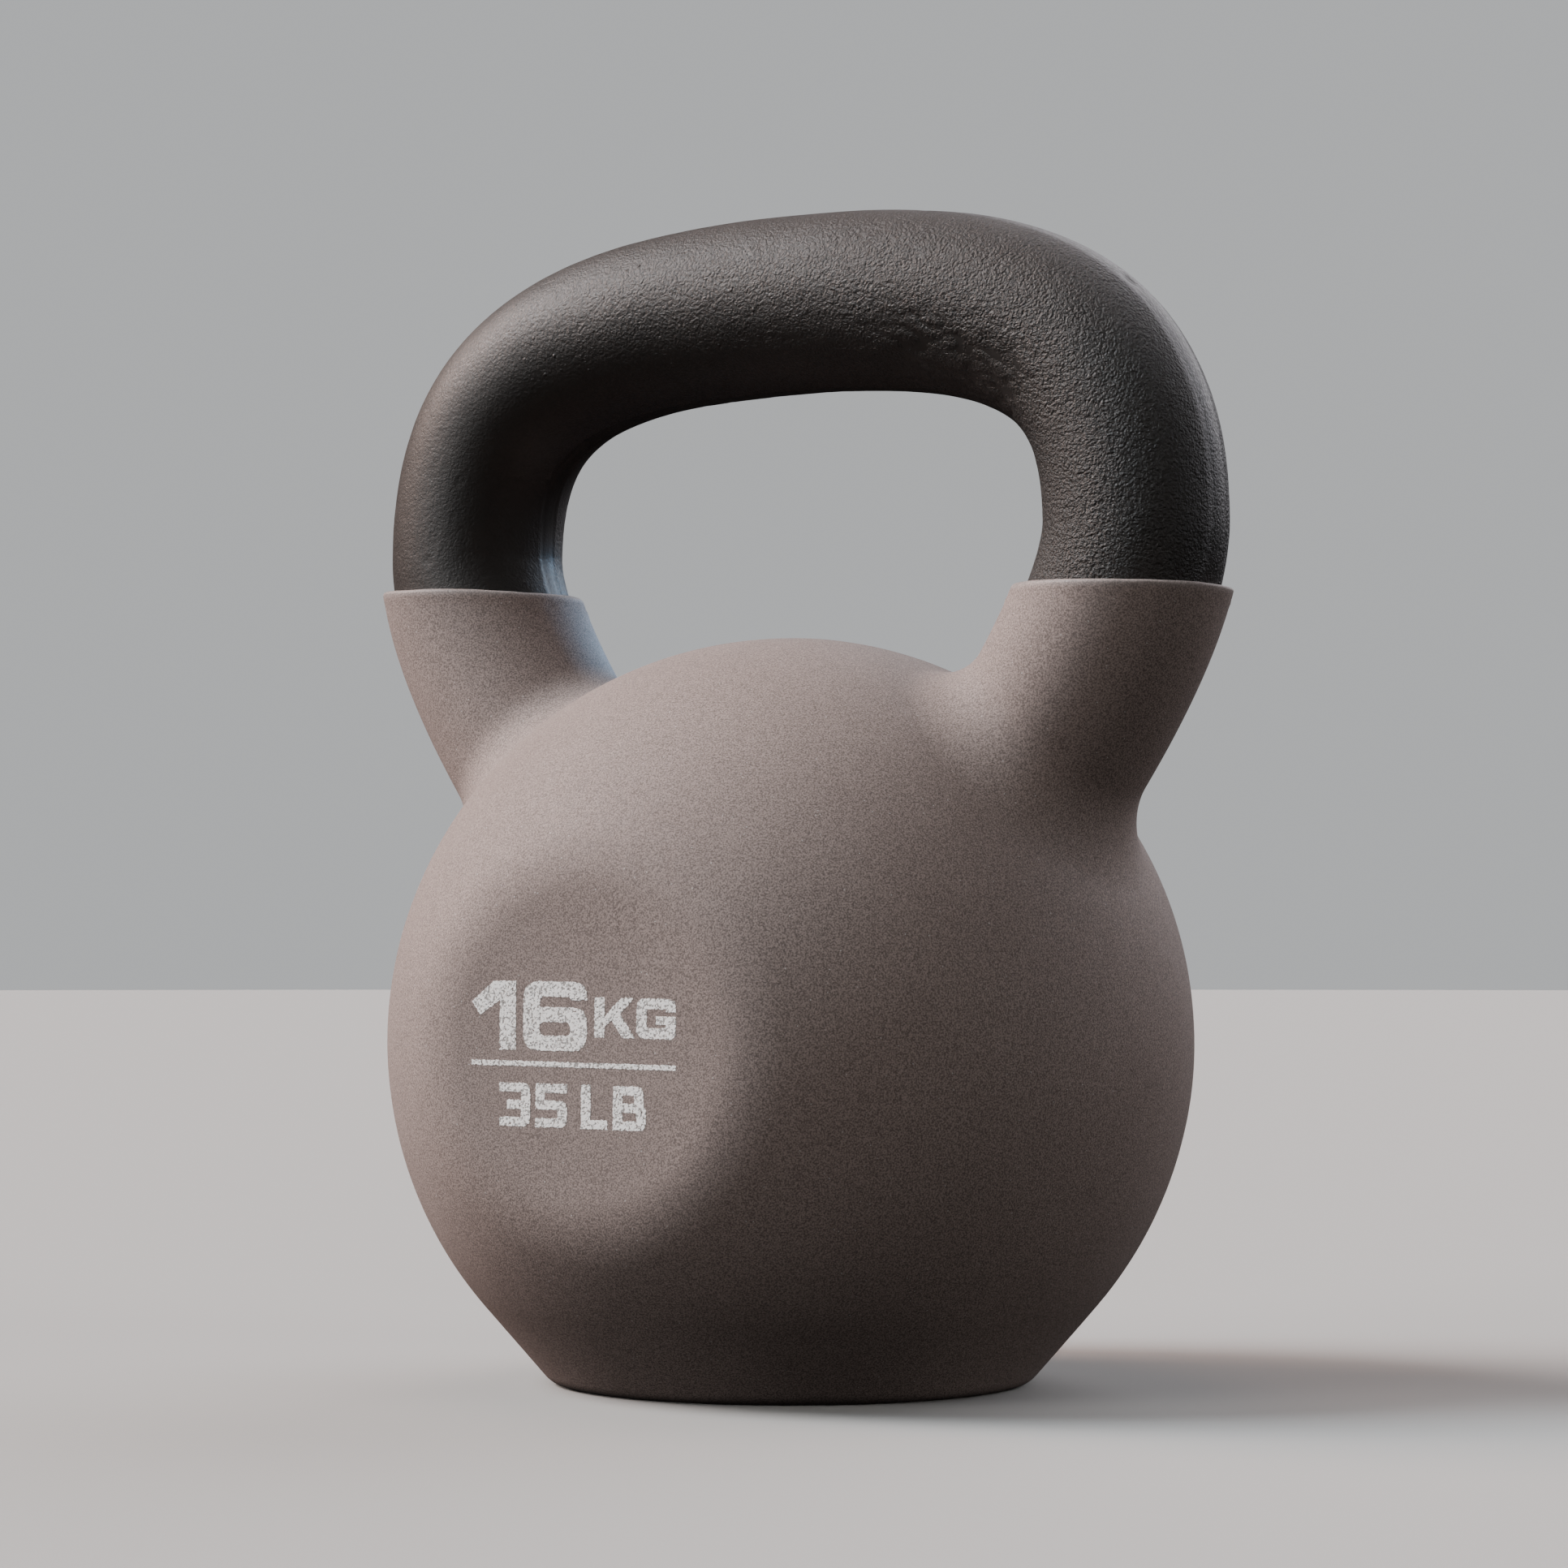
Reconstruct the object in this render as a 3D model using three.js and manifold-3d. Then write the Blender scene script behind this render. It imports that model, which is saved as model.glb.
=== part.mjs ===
// A 16 kg kettlebell: an iron casting with a powder-coated handle, a dipped vinyl jacket over the ball
// and the horns, and a printed weight mark on the front flat.
// Millimetres, +Z up. The origin is on the floor under the middle of the ball. The handle spans X, and
// the front flat, which carries the mark, faces -Y.

import * as THREE from 'three';
import { mergeVertices } from 'three/addons/utils/BufferGeometryUtils.js';
import Module from 'manifold-3d';

const wasm = await Module();
wasm.setup();

// ---- Driving dimensions ----

// Ball, measured on the outside of the jacket
const ballRadius = 80;
const ballCentreHeight = 67.5;
const flatDistance = 72; // from the vertical axis to the front and back flats
const flatEdgeRadius = 25; // soft edge between a flat and the ball
const footRadius = 45; // of the flat underneath
const footEdgeRadius = 5; // from that flat to the cone that runs up onto the ball
const footOverrun = 0.4; // how far the cone runs on under the ball's surface, for a clean meeting line

// Handle centreline, right half; the left half mirrors it
const rootX = 42.5; // where the horn starts, inside the ball
const rootHeight = 103.4;
const hornBendHeight = 147.3; // where the horn's slant meets the upright of the leg
const legX = 77.4;
const legHeight = 167.2; // where the leg stands upright
const cornerRise = 37.5; // how far the leg runs on before it turns into the top bar
const cornerRun = 51.6;
const barHeight = 214.5;

// Skins
const gripRadius = 17.8; // outside of the powder coat
const coatWall = 0.3;
const coatEndHeight = 148; // the modelled coat ends inside the collars
const jacketWall = 2.1;
const fitGap = 0.3; // between the casting, the coat and the jacket
const hornFillet = 10; // between the jacket's horns and its ball
const filletOverrun = 0.4; // how far the fillet runs on under the ball's surface, for a clean meeting line

// The jacket ends at the dip line, one plane that crosses both legs and runs down towards +X
const dipLineHeight = 157.1;
const dipLineSlope = THREE.MathUtils.degToRad(1.84);

// Printed mark
const inkThickness = 0.15;
const inkGap = 0.05;
const markX = -25.8; // left end of the mark
const ruleHeight = 64.4; // centre of the rule at its left end
const markTilt = THREE.MathUtils.degToRad(0.67); // the print is turned a little clockwise
const ruleLength = 46;
const ruleThickness = 0.95;

// Mesh fineness
const ballSegments = 40;
const flatEdgeSteps = 3;
const ballProfileSteps = 18;
const footEdgeSteps = 4;
const tubeSegments = 18;
const tubeSteps = 60;

const workSize = 400; // a cutting block, larger than the object

// ---- Solids: three.js geometry turned into manifolds and back ----

function toSolid(geometry) {
  const bare = geometry.clone();
  bare.deleteAttribute('normal');
  bare.deleteAttribute('uv');
  const merged = mergeVertices(bare, 1e-4);
  const triangles = [];
  for (let i = 0; i < merged.index.count; i += 3) {
    const [a, b, c] = merged.index.array.slice(i, i + 3);
    if (a !== b && b !== c && c !== a) triangles.push(a, b, c);
  }
  return new wasm.Manifold(new wasm.Mesh({
    numProp: 3,
    vertProperties: new Float32Array(merged.attributes.position.array),
    triVerts: new Uint32Array(triangles),
  }));
}

function toGeometry(solid) {
  const mesh = solid.getMesh();
  const geometry = new THREE.BufferGeometry();
  geometry.setAttribute('position', new THREE.BufferAttribute(mesh.vertProperties, 3));
  geometry.setIndex(new THREE.BufferAttribute(mesh.triVerts, 1));
  geometry.computeVertexNormals();
  return geometry;
}

// ---- Ball ----

function arcPoints(centre, radius, fromAngle, toAngle, steps) {
  const arc = new THREE.ArcCurve(centre.x, centre.y, radius, fromAngle, toAngle, toAngle < fromAngle);
  return arc.getPoints(steps);
}

// The ball turned about the axis that runs through its two flats, with a soft edge round each flat.
// inset is how deep the surface lies under the outside of the jacket.
function flattedBall(inset) {
  const radius = ballRadius - inset;
  const edge = flatEdgeRadius - inset;
  const flat = flatDistance - inset;
  const edgeCentre = new THREE.Vector2(Math.sqrt((radius - edge) ** 2 - (flat - edge) ** 2), flat - edge);
  const meeting = Math.atan2(edgeCentre.y, edgeCentre.x);
  const lowerCentre = new THREE.Vector2(edgeCentre.x, -edgeCentre.y);
  const profile = [
    new THREE.Vector2(0, -flat),
    ...arcPoints(lowerCentre, edge, -Math.PI / 2, -meeting, flatEdgeSteps),
    ...arcPoints(new THREE.Vector2(0, 0), radius, -meeting, meeting, ballProfileSteps).slice(1, -1),
    ...arcPoints(edgeCentre, edge, meeting, Math.PI / 2, flatEdgeSteps),
    new THREE.Vector2(0, flat),
  ];
  const geometry = new THREE.LatheGeometry(profile, ballSegments);
  geometry.translate(0, 0, ballCentreHeight);
  return toSolid(geometry);
}

// The turned foot: a flat, a rounded edge, and a cone that meets the ball without a corner
function foot(inset) {
  const edgeCentre = new THREE.Vector2(footRadius, footEdgeRadius);
  const ballCentre = new THREE.Vector2(0, ballCentreHeight);
  const apart = edgeCentre.clone().sub(ballCentre);
  const meeting = Math.atan2(apart.y, apart.x) + Math.acos((ballRadius - footEdgeRadius) / apart.length());
  const outward = new THREE.Vector2(Math.cos(meeting), Math.sin(meeting));
  const coneTop = ballCentre.clone().addScaledVector(outward, ballRadius - inset);
  const coneEnd = coneTop.clone().addScaledVector(outward, -footOverrun);
  const profile = [
    new THREE.Vector2(0, inset),
    ...arcPoints(edgeCentre, footEdgeRadius - inset, -Math.PI / 2, meeting, footEdgeSteps),
    coneEnd,
    new THREE.Vector2(0, coneEnd.y),
  ];
  const geometry = new THREE.LatheGeometry(profile, ballSegments);
  geometry.rotateX(Math.PI / 2);
  return toSolid(geometry);
}

function ball(inset) {
  return flattedBall(inset).subtract(blockBelow(inset)).add(foot(inset));
}

// ---- Handle ----

function handleLine() {
  const at = (x, z) => new THREE.Vector3(x, 0, z);
  const line = new THREE.CurvePath();
  const top = at(0, barHeight);
  const leftLeg = at(-legX, legHeight);
  const leftCorner = [at(-legX, legHeight + cornerRise), at(-cornerRun, barHeight)];
  const rightCorner = [at(cornerRun, barHeight), at(legX, legHeight + cornerRise)];
  const rightLeg = at(legX, legHeight);
  line.add(new THREE.QuadraticBezierCurve3(at(-rootX, rootHeight), at(-legX, hornBendHeight), leftLeg));
  line.add(new THREE.CubicBezierCurve3(leftLeg, ...leftCorner, top));
  line.add(new THREE.CubicBezierCurve3(top, ...rightCorner, rightLeg));
  line.add(new THREE.QuadraticBezierCurve3(rightLeg, at(legX, hornBendHeight), at(rootX, rootHeight)));
  return line;
}

function ring(radius) {
  return new THREE.Shape(new THREE.EllipseCurve(0, 0, radius, radius).getPoints(tubeSegments).slice(0, -1));
}

// How far a point stands out of the ball's surface
function heightOverBall(point, inset) {
  return point.distanceTo(new THREE.Vector3(0, 0, ballCentreHeight)) - (ballRadius - inset);
}

// How far a concave fillet has spread at a given height over the ball
function filletSpread(height, fillet) {
  const climb = Math.max(height + filletOverrun, 0);
  if (climb >= fillet) return 0;
  return fillet - Math.sqrt(fillet ** 2 - (fillet - climb) ** 2);
}

// Moves a tube point straight out from the centreline until it lies on the fillet
function spreadOnto(point, centre, inset, fillet) {
  const out = point.clone().sub(centre).normalize();
  let low = 0;
  let high = fillet;
  for (let i = 0; i < 24; i += 1) {
    const middle = (low + high) / 2;
    const moved = point.clone().addScaledVector(out, middle);
    if (filletSpread(heightOverBall(moved, inset), fillet) > middle) low = middle;
    else high = middle;
  }
  return point.clone().addScaledVector(out, low);
}

// A round tube along the whole handle line, whose two feet flare into the ball
function handleTube(radius, inset) {
  const line = handleLine();
  const fillet = hornFillet + inset;
  const centres = line.getSpacedPoints(tubeSteps);
  const geometry = new THREE.ExtrudeGeometry(ring(radius), { steps: tubeSteps, extrudePath: line });
  const position = geometry.attributes.position;
  const point = new THREE.Vector3();
  for (let i = 0; i < position.count; i += 1) {
    point.fromBufferAttribute(position, i);
    const miss = (centre) => Math.abs(centre.distanceTo(point) - radius);
    const near = centres.filter((centre) => miss(centre) < 1e-3);
    const centre = near.reduce((best, next) => (miss(next) < miss(best) ? next : best), near[0]);
    const moved = spreadOnto(point, centre, inset, fillet);
    position.setXYZ(i, moved.x, moved.y, moved.z);
  }
  return toSolid(geometry);
}

// ---- Cutting blocks ----

function blockAbove(height, slope) {
  const geometry = new THREE.BoxGeometry(workSize, workSize, workSize);
  geometry.translate(0, 0, workSize / 2);
  geometry.rotateY(slope);
  geometry.translate(0, 0, height);
  return toSolid(geometry);
}

function blockBelow(height) {
  const geometry = new THREE.BoxGeometry(workSize, workSize, workSize);
  geometry.translate(0, 0, height - workSize / 2);
  return toSolid(geometry);
}

// ---- The three main pieces ----

const jacketInset = 0;
const liningInset = jacketWall;
const castingInset = jacketWall + fitGap;

const liningRadius = gripRadius + fitGap;
const collarRadius = liningRadius + jacketWall;
const coatInnerRadius = gripRadius - coatWall;
const castingGripRadius = coatInnerRadius - fitGap;

function ironCasting() {
  return ball(castingInset).add(handleTube(castingGripRadius, castingInset));
}

function handleCoating() {
  const outside = handleTube(gripRadius, castingInset);
  const inside = handleTube(coatInnerRadius, castingInset);
  return outside.subtract(inside).subtract(blockBelow(coatEndHeight));
}

function vinylJacket() {
  const outside = ball(jacketInset).add(handleTube(collarRadius, jacketInset));
  const inside = ball(liningInset).add(handleTube(liningRadius, liningInset));
  return outside.subtract(inside).subtract(blockAbove(dipLineHeight, dipLineSlope));
}

// ---- Printed mark ----

// An outline from corners [x, y, rounding]
function outline(corners, path) {
  const count = corners.length;
  corners.forEach(([x, y, rounding], i) => {
    const corner = new THREE.Vector2(x, y);
    const before = new THREE.Vector2(...corners[(i + count - 1) % count]);
    const after = new THREE.Vector2(...corners[(i + 1) % count]);
    const start = corner.clone().add(before.sub(corner).setLength(rounding));
    const end = corner.clone().add(after.sub(corner).setLength(rounding));
    if (i === 0) path.moveTo(start.x, start.y);
    else path.lineTo(start.x, start.y);
    if (rounding > 0) path.quadraticCurveTo(corner.x, corner.y, end.x, end.y);
  });
  path.closePath();
  return path;
}

function glyph(corners, holes = []) {
  const shape = outline(corners, new THREE.Shape());
  holes.forEach((hole) => shape.holes.push(outline(hole, new THREE.Path())));
  return shape;
}

// Each sign is drawn in a box w wide and h high, with upright strokes u wide and level strokes v high
const signs = {
  one: (w, h, u, v) => glyph([
    [w - u, 0, 0], [w, 0, 0], [w, h, 0], [w - 1.4 * u, h, 0], [0, h - 1.4 * v, 0], [0.5 * u, h - 2.3 * v, 0],
    [w - u, h - 1.3 * v, 0],
  ]),
  six: (w, h, u, v) => glyph([
    [w, h - 1.2 * v, 0], [w, h, 0.8 * u], [0, h, 0.9 * u], [0, 0, 0.9 * u], [w, 0, 0.9 * u],
    [w, 0.63 * h, 0.8 * u], [u, 0.63 * h, 0], [u, h - v, 0.3 * u], [0.72 * w, h - v, 0],
    [0.76 * w, h - 1.2 * v, 0],
  ], [[[u, v, 0.3 * u], [w - u, v, 0.3 * u], [w - u, 0.63 * h - v, 0.3 * u], [u, 0.63 * h - v, 0.3 * u]]]),
  k: (w, h, u) => glyph([
    [0, 0, 0], [u, 0, 0], [u, 0.28 * h, 0], [0.42 * w, 0.43 * h, 0], [0.68 * w, 0, 0], [w, 0, 0],
    [0.62 * w, 0.6 * h, 0], [0.97 * w, h, 0], [0.66 * w, h, 0], [u, 0.54 * h, 0], [u, h, 0], [0, h, 0],
  ]),
  g: (w, h, u, v) => glyph([
    [w, 0.66 * h, 0], [w, h, 0.9 * u], [0, h, 0.9 * u], [0, 0, 0.9 * u], [w, 0, 0.6 * u], [w, 0.56 * h, 0],
    [0.5 * w, 0.56 * h, 0], [0.5 * w, 0.56 * h - 0.8 * v, 0], [w - u, 0.56 * h - 0.8 * v, 0], [w - u, v, 0],
    [u, v, 0.3 * u], [u, h - v, 0.3 * u], [w - u, h - v, 0], [w - u, 0.66 * h, 0],
  ]),
  three: (w, h, u, v) => glyph([
    [0, 0, 0], [w, 0, 0.8 * u], [w, h, 0.8 * u], [0, h, 0], [0, h - v, 0], [w - u, h - v, 0],
    [w - u, 0.5 * (h + v), 0], [0.25 * w, 0.5 * (h + v), 0], [0.25 * w, 0.5 * (h - v), 0],
    [w - u, 0.5 * (h - v), 0], [w - u, v, 0], [0, v, 0],
  ]),
  five: (w, h, u, v) => glyph([
    [0, 0, 0], [w, 0, 0.8 * u], [w, 0.62 * h, 0.8 * u], [u, 0.62 * h, 0], [u, h - v, 0], [w, h - v, 0],
    [w, h, 0], [0, h, 0], [0, 0.62 * h - v, 0], [w - u, 0.62 * h - v, 0.2 * u], [w - u, v, 0.2 * u],
    [0, v, 0],
  ]),
  l: (w, h, u, v) => glyph([[0, 0, 0], [w, 0, 0], [w, v, 0], [u, v, 0], [u, h, 0], [0, h, 0]]),
  b: (w, h, u, v) => glyph([
    [0, 0, 0], [w, 0, 0.8 * u], [w, 0.52 * h, 0.3 * u], [0.93 * w, 0.52 * h, 0],
    [0.93 * w, h, 0.8 * u], [0, h, 0],
  ], [
    [[u, v, 0], [w - u, v, 0], [w - u, 0.5 * (h - v), 0], [u, 0.5 * (h - v), 0]],
    [[u, 0.5 * (h + v), 0], [0.93 * w - u, 0.5 * (h + v), 0], [0.93 * w - u, h - v, 0], [u, h - v, 0]],
  ]),
  rule: (w, h) => glyph([[0, 0, 0], [w, 0, 0], [w, h, 0], [0, h, 0]]),
};

// Where each sign stands, from the rule's left end: [name, sign, x, height of its foot, width]
const figures = {
  height: 12.85,
  upright: 3.7,
  level: 2.8,
  rows: [['mark_kilogram_1', 'one', 0, 2.5, 10.1], ['mark_kilogram_6', 'six', 11.8, 2.5, 14.4]],
};
const units = {
  height: 7.4,
  upright: 2.2,
  level: 2,
  rows: [['mark_kilogram_k', 'k', 27.9, 5.2, 9.1], ['mark_kilogram_g', 'g', 37.2, 5.2, 8.7]],
};
const pounds = {
  height: 8.1,
  upright: 2.1,
  level: 1.7,
  rows: [
    ['mark_pound_3', 'three', 6.5, -11.7, 7.1],
    ['mark_pound_5', 'five', 14.8, -11.7, 7.1],
    ['mark_pound_l', 'l', 25.1, -11.7, 5.9],
    ['mark_pound_b', 'b', 32.2, -11.7, 7.3],
  ],
};
const rules = {
  height: ruleThickness,
  rows: [['mark_rule', 'rule', 0, -ruleThickness / 2, ruleLength]],
};

function inkFilm([name, sign, x, foot, width], { height, upright, level }) {
  const shape = signs[sign](width, height, upright, level);
  const geometry = new THREE.ExtrudeGeometry(shape, {
    depth: inkThickness,
    bevelEnabled: false,
    curveSegments: 4,
  });
  geometry.rotateX(Math.PI / 2);
  const mesh = namedMesh(name, geometry, ink.clone());
  mesh.position.set(x, 0, foot);
  return mesh;
}

// ---- Materials ----

const castIron = new THREE.MeshStandardMaterial({ color: 0x4a4846, roughness: 0.8, metalness: 0.9 });
const powderCoat = new THREE.MeshStandardMaterial({ color: 0x1b1917, roughness: 0.55, metalness: 0 });
const vinyl = new THREE.MeshStandardMaterial({ color: 0x7d736f, roughness: 0.75, metalness: 0 });
const ink = new THREE.MeshStandardMaterial({ color: 0xe2ddd8, roughness: 0.7, metalness: 0 });

// ---- Assembly ----

function namedMesh(name, geometry, material) {
  const mesh = new THREE.Mesh(geometry, material);
  mesh.name = name;
  return mesh;
}

function printedMark() {
  const group = new THREE.Group();
  group.position.set(markX, -(flatDistance + inkGap), ruleHeight);
  group.rotation.y = markTilt;
  for (const line of [figures, units, rules, pounds]) {
    line.rows.forEach((row) => group.add(inkFilm(row, line)));
  }
  return group;
}

const kettlebell = new THREE.Group();
kettlebell.add(namedMesh('iron_casting', toGeometry(ironCasting()), castIron));
kettlebell.add(namedMesh('handle_coating', toGeometry(handleCoating()), powderCoat));
kettlebell.add(namedMesh('vinyl_jacket', toGeometry(vinylJacket()), vinyl));
kettlebell.add(printedMark());

export default kettlebell;
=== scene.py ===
"""Looks of a 16 kg kettlebell: the dipped vinyl jacket, the powder-coated grip and the printed weight mark.

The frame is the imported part's: +Z up, the handle spans X and the front flat faces -Y. Shapes are worked
out in millimetres, as in the CAD, and become metres when a mesh is made.
"""

import math

import bmesh
import bpy
import numpy as np
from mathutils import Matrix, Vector, noise


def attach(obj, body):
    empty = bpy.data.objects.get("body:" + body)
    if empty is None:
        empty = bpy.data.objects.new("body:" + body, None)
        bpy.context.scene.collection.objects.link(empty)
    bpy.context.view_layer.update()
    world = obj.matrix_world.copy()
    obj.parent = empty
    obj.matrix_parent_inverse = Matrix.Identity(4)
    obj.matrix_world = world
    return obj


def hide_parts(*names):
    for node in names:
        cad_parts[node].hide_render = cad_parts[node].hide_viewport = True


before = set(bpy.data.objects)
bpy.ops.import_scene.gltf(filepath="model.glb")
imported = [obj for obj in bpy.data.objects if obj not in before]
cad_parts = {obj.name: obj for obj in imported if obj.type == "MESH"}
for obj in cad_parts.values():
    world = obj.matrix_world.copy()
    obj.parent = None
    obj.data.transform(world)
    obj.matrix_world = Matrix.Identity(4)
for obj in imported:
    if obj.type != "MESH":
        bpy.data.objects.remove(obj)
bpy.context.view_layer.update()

# ---- Driving dimensions, in millimetres, as in the CAD ----

BALL_RADIUS = 80
BALL_HEIGHT = 67.5
FLAT_DISTANCE = 72  # from the vertical axis to the front and back flats
FLAT_EDGE = 25  # soft edge between a flat and the ball
FOOT_RADIUS = 45  # of the flat underneath
FOOT_EDGE = 5  # from that flat to the cone that runs up onto the ball

# Handle centreline, right half: the horn's bend, then the corner that turns the leg into the top bar
HORN = [(42.5, 0, 103.4), (77.4, 0, 147.3), (77.4, 0, 167.2)]
CORNER = [(77.4, 0, 167.2), (77.4, 0, 204.7), (51.6, 0, 214.5), (0, 0, 214.5)]

GRIP_RADIUS = 17.8
COAT_WALL = 0.3
COAT_END = 148  # the coat ends inside the collars
JACKET_WALL = 2.1
COLLAR_RADIUS = 20.2
HORN_FILLET = 10
DIP_HEIGHT = 157.1
DIP_SLOPE = math.tan(math.radians(1.84))  # the dip line runs down towards +X

# Looks that the CAD leaves out
RIM_ROUNDING = 0.7
RIM_WAVE = 0.22  # unevenness of the dip line
PARTING_WIDTH = 5.2  # band of tool marks along the inside of the loop
DRESSED_WIDTH = 7.5  # smoother band along the outside of the loop
INK_PROUD = 0.04  # how far the ink stands out of the vinyl
INK_SUNK = 0.06  # and how far it has soaked in
BEAD = 0.08  # thickening of the vinyl just under the rim, where the dip has gathered
PIT_COUNT = 110

# Where the legs begin and end, for the jacket
HORN_ROOT = 75  # the horns and their fillets lie above this height
TOP_LEG = 76  # distance of a leg's centreline from the vertical axis, near the dip line
TUBE_TOP, LEG_TOP = 170, 183  # ends of the rough horns and of the centreline, both over the dip line

# How finely the pieces are made
SKIN_VOXEL, LINING_VOXEL = 1.3, 3
SKIN_CUT, LINING_CUT = 3, 10  # where the remeshed skins end, under the dip line
LEG_STEP = 0.3
TUBE_STEP, TUBE_SIDES = 2, 48
COLLAR_SIDES = 200
GRIP_STEP, GRIP_SIDES = 0.6, 188
INK_STEP = 0.12
SLOPE_STEP = 0.05  # how far apart the skin's slope is sampled
BATCH = 8000  # points compared with a leg's centreline at a time


# ---- Small tools ----


def smooth_step(low, high, value):
    t = np.clip((value - low) / (high - low), 0, 1)
    return t * t * (3 - 2 * t)


def lumps(points, size, seed=0):
    """Smooth noise, about -1 to 1, with lumps of that size."""
    moved = points / size + (11.3 * seed, 5.7 * seed, 3.1 * seed)
    return np.array([noise.noise(p) for p in moved.tolist()])


def bezier(controls, count):
    t = np.linspace(0, 1, count)[:, None]
    level = [np.array(c, float) for c in controls]
    while len(level) > 1:
        level = [(1 - t) * a + t * b for a, b in zip(level, level[1:])]
    return level[0]


def spaced(line, step):
    """The same line with points about one step apart."""
    travelled = np.concatenate([[0], np.cumsum(np.linalg.norm(np.diff(line, axis=0), axis=1))])
    count = max(2, round(travelled[-1] / step) + 1)
    wanted = np.linspace(0, travelled[-1], count)
    return np.stack([np.interp(wanted, travelled, line[:, k]) for k in range(3)], 1)


def grid_faces(rows, columns):
    """Quads of a grid of rows times columns, whose columns close into rings."""
    i, j = (a.ravel() for a in np.meshgrid(np.arange(rows - 1), np.arange(columns), indexing="ij"))
    k = (j + 1) % columns
    return np.stack([i * columns + j, i * columns + k, (i + 1) * columns + k, (i + 1) * columns + j], 1)


def half_line():
    return np.concatenate([bezier(HORN, 200)[:-1], bezier(CORNER, 500)])


def whole_line():
    """The handle's centreline from the left root over the top to the right root."""
    right = half_line()
    return np.concatenate([right * (-1, 1, 1), right[-2::-1]])


def waved(points):
    """The points moved by the faint waves of the dipped vinyl, and by those of the print on it."""
    away = points - (0, 0, BALL_HEIGHT)
    waves = 0.07 * lumps(points, 26, 3) + 0.035 * lumps(points, 9, 4)
    waves *= smooth_step(1, 6, points[:, 2])
    return points + away / np.linalg.norm(away, axis=1)[:, None] * waves[:, None]


def make_piece(name, points, faces, replaced):
    """A smooth-shaded object from points in millimetres. It rides on the part's one body."""
    mesh = bpy.data.meshes.new(name)
    mesh.from_pydata((points * 0.001).tolist(), [], [list(f) for f in faces])
    mesh.validate()
    mesh.shade_smooth()
    piece = bpy.data.objects.new(name, mesh)
    bpy.context.scene.collection.objects.link(piece)
    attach(piece, "root")
    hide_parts(*replaced)
    return piece


def outward(points, faces):
    """The same closed surface with every face turned outward, as points and a list of faces."""
    work = bmesh.new()
    mesh = bpy.data.meshes.new("work")
    mesh.from_pydata(points.tolist(), [], [list(f) for f in faces])
    work.from_mesh(mesh)
    bmesh.ops.recalc_face_normals(work, faces=work.faces)
    turned = [[v.index for v in f.verts] for f in work.faces]
    work.free()
    bpy.data.meshes.remove(mesh)
    return turned


def add_attribute(piece, name, values):
    piece.data.attributes.new(name, "FLOAT", "POINT").data.foreach_set("value", values.astype(np.float32))


# ---- Jacket: distances to the surface ----

LEG_LINE = spaced(half_line(), LEG_STEP)
LEG_LINE = LEG_LINE[LEG_LINE[:, 2] < LEG_TOP]


def ball_distance(points, inset):
    """Distance out of the ball with its two flats and its foot. inset is how deep the skin lies."""
    x, y, z = points.T
    radius, edge, flat = BALL_RADIUS - inset, FLAT_EDGE - inset, FLAT_DISTANCE - inset
    distance = np.linalg.norm(points - (0, 0, BALL_HEIGHT), axis=1) - radius

    across, out = np.hypot(x, z - BALL_HEIGHT), np.abs(y)
    edge_out = flat - edge
    edge_across = math.sqrt((radius - edge) ** 2 - edge_out ** 2)
    turned = np.arctan2(out - edge_out, across - edge_across)
    on_edge = (turned > math.atan2(edge_out, edge_across)) & (out > edge_out)
    distance = np.where(on_edge, np.hypot(across - edge_across, out - edge_out) - edge, distance)
    distance = np.where((across < edge_across) & (out > edge_out), out - flat, distance)

    # The foot: from the flat a rounded edge, then a cone that meets the ball without a corner
    beside, up = np.hypot(x, y), z - BALL_HEIGHT
    edge_up = FOOT_EDGE - BALL_HEIGHT
    lean = math.atan2(edge_up, FOOT_RADIUS)
    lean += math.acos((BALL_RADIUS - FOOT_EDGE) / math.hypot(FOOT_RADIUS, edge_up))
    down_cone = beside * math.sin(lean) - up * math.cos(lean)
    cone_end = FOOT_RADIUS * math.sin(lean) - edge_up * math.cos(lean)
    cone = beside * math.cos(lean) + up * math.sin(lean) - radius
    distance = np.where((down_cone > 0) & (beside > FOOT_RADIUS), cone, distance)
    edge = np.hypot(beside - FOOT_RADIUS, up - edge_up) - (FOOT_EDGE - inset)
    distance = np.where((down_cone > cone_end) & (beside > FOOT_RADIUS), edge, distance)
    return np.where((beside <= FOOT_RADIUS) & (z < FOOT_EDGE), inset - z, distance)


def leg_points(points):
    """The nearest point of the two legs' centrelines to each point."""
    folded = np.abs(points[:, 0])
    nearest = np.empty_like(points)
    for part in np.array_split(np.arange(len(points)), max(1, len(points) // BATCH)):
        gap = (folded[part, None] - LEG_LINE[:, 0]) ** 2 + (points[part, 2, None] - LEG_LINE[:, 2]) ** 2
        nearest[part] = LEG_LINE[gap.argmin(1)]
    nearest[:, 0] *= np.where(points[:, 0] < 0, -1, 1)
    return nearest


def skin_distance(points, inset):
    """Distance out of the jacket's skin: the ball and both horns, with a concave fillet between them."""
    ball = ball_distance(points, inset)
    fillet = HORN_FILLET + inset
    distance = ball.copy()
    near = np.nonzero(points[:, 2] > HORN_ROOT)[0]
    horn = np.linalg.norm(points[near] - leg_points(points[near]), axis=1) - (COLLAR_RADIUS - inset)
    reach = np.hypot(np.maximum(fillet - ball[near], 0), np.maximum(fillet - horn, 0))
    distance[near] = np.maximum(fillet, np.minimum(ball[near], horn)) - reach
    return distance


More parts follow.
